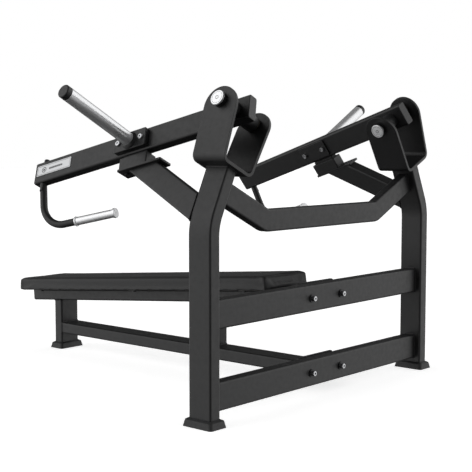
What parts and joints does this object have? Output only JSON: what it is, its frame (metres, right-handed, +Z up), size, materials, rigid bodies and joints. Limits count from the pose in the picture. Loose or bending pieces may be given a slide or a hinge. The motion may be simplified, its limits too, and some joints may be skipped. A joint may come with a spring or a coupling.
{
  "type": "chest press machine",
  "caption": "Free-standing plate-loaded lying chest press with a leaning rear frame, a sloping flat bench and independent swinging press arms.",
  "frame": {"origin": "on the floor, under the middle of the machine's bounding box", "axes": "+Z up, +Y towards the foot end of the bench, +X the user's right"},
  "size_m": [1.7784, 1.7339, 1.1443],
  "materials": {
    "frame_paint": "satin black powder coat",
    "chrome": "polished",
    "bright_alloy": "satin",
    "bolt_steel": "zinc plated",
    "black_oxide": "black oxide",
    "shaft_steel": "ground",
    "bush_bronze": "machined",
    "black_plastic": "moulded",
    "foot_rubber": "moulded",
    "bumper_rubber": "moulded",
    "pad_board": "plywood",
    "pad_vinyl": "grained vinyl"
  },
  "bodies": {
    "frame": {"bench_leg": "frame_paint", "bench_lower_rail": "frame_paint", "bench_pad": "pad_vinyl", "bench_post": "frame_paint", "bench_top_rail": "frame_paint", "foot_cap_front": "foot_rubber", "foot_caps_rear": "foot_rubber", "frame_bolts": "bolt_steel", "frame_nuts": "bolt_steel", "frame_washers": "black_oxide", "lower_cross_beam": "frame_paint", "pad_board": "pad_board", "pad_cross_plates": "frame_paint", "pad_screws": "black_oxide", "pivot_bosses": "frame_paint", "pivot_bracket_left": "frame_paint", "pivot_bracket_right": "frame_paint", "pivot_caps": "bright_alloy", "pivot_shafts": "shaft_steel", "rail_end_cap": "black_plastic", "rail_flanges": "frame_paint", "stop_arm_left": "frame_paint", "stop_arm_right": "frame_paint", "stop_blocks": "frame_paint", "stop_bolts": "black_oxide", "stop_bumpers": "bumper_rubber", "upper_cross_beam": "frame_paint", "upright_left": "frame_paint", "upright_right": "frame_paint", "v_brace": "frame_paint"},
    "arm_left": {"press_arm_left": "frame_paint", "arm_end_caps_left": "black_plastic", "pivot_hub_left": "frame_paint", "hub_bushes_left": "bush_bronze", "horn_mount_plate_left": "frame_paint", "horn_backing_plate_left": "frame_paint", "horn_bolts_left": "bolt_steel", "horn_nuts_left": "bolt_steel", "weight_horn_left": "chrome", "horn_end_cap_left": "black_plastic", "handle_tube_left": "frame_paint", "grip_collars_left": "chrome", "handle_bolt_left": "black_oxide", "name_plate_left": "bright_alloy"},
    "arm_right": {"press_arm_right": "frame_paint", "arm_end_caps_right": "black_plastic", "pivot_hub_right": "frame_paint", "hub_bushes_right": "bush_bronze", "horn_mount_plate_right": "frame_paint", "horn_backing_plate_right": "frame_paint", "horn_bolts_right": "bolt_steel", "horn_nuts_right": "bolt_steel", "weight_horn_right": "chrome", "horn_end_cap_right": "black_plastic", "handle_tube_right": "frame_paint", "grip_collars_right": "chrome", "handle_bolt_right": "black_oxide", "name_plate_right": "bright_alloy"},
    "grip_left": {"grip_sleeve_left": "chrome"},
    "grip_right": {"grip_sleeve_right": "chrome"}
  },
  "joints": [
    {"name": "arm_right_swing", "type": "hinge", "parent": "frame", "child": "arm_right", "pos_m": [0.47223, -0.7922, 1.04625], "axis": [0.9026, 0, 0.4305], "range_deg": [0, 45]},
    {"name": "arm_left_swing", "type": "hinge", "parent": "frame", "child": "arm_left", "pos_m": [-0.48247, -0.7922, 1.04625], "axis": [0.9026, 0, -0.4305], "range_deg": [0, 45]},
    {"name": "grip_right_spin", "type": "hinge", "parent": "arm_right", "child": "grip_right", "pos_m": [0.56077, -0.27696, 0.66526], "axis": [-0.3047, -0.9174, 0.2559], "continuous": true},
    {"name": "grip_left_spin", "type": "hinge", "parent": "arm_left", "child": "grip_left", "pos_m": [-0.55877, -0.25706, 0.69092], "axis": [0.2831, -0.9357, 0.2107], "continuous": true}
  ]
}
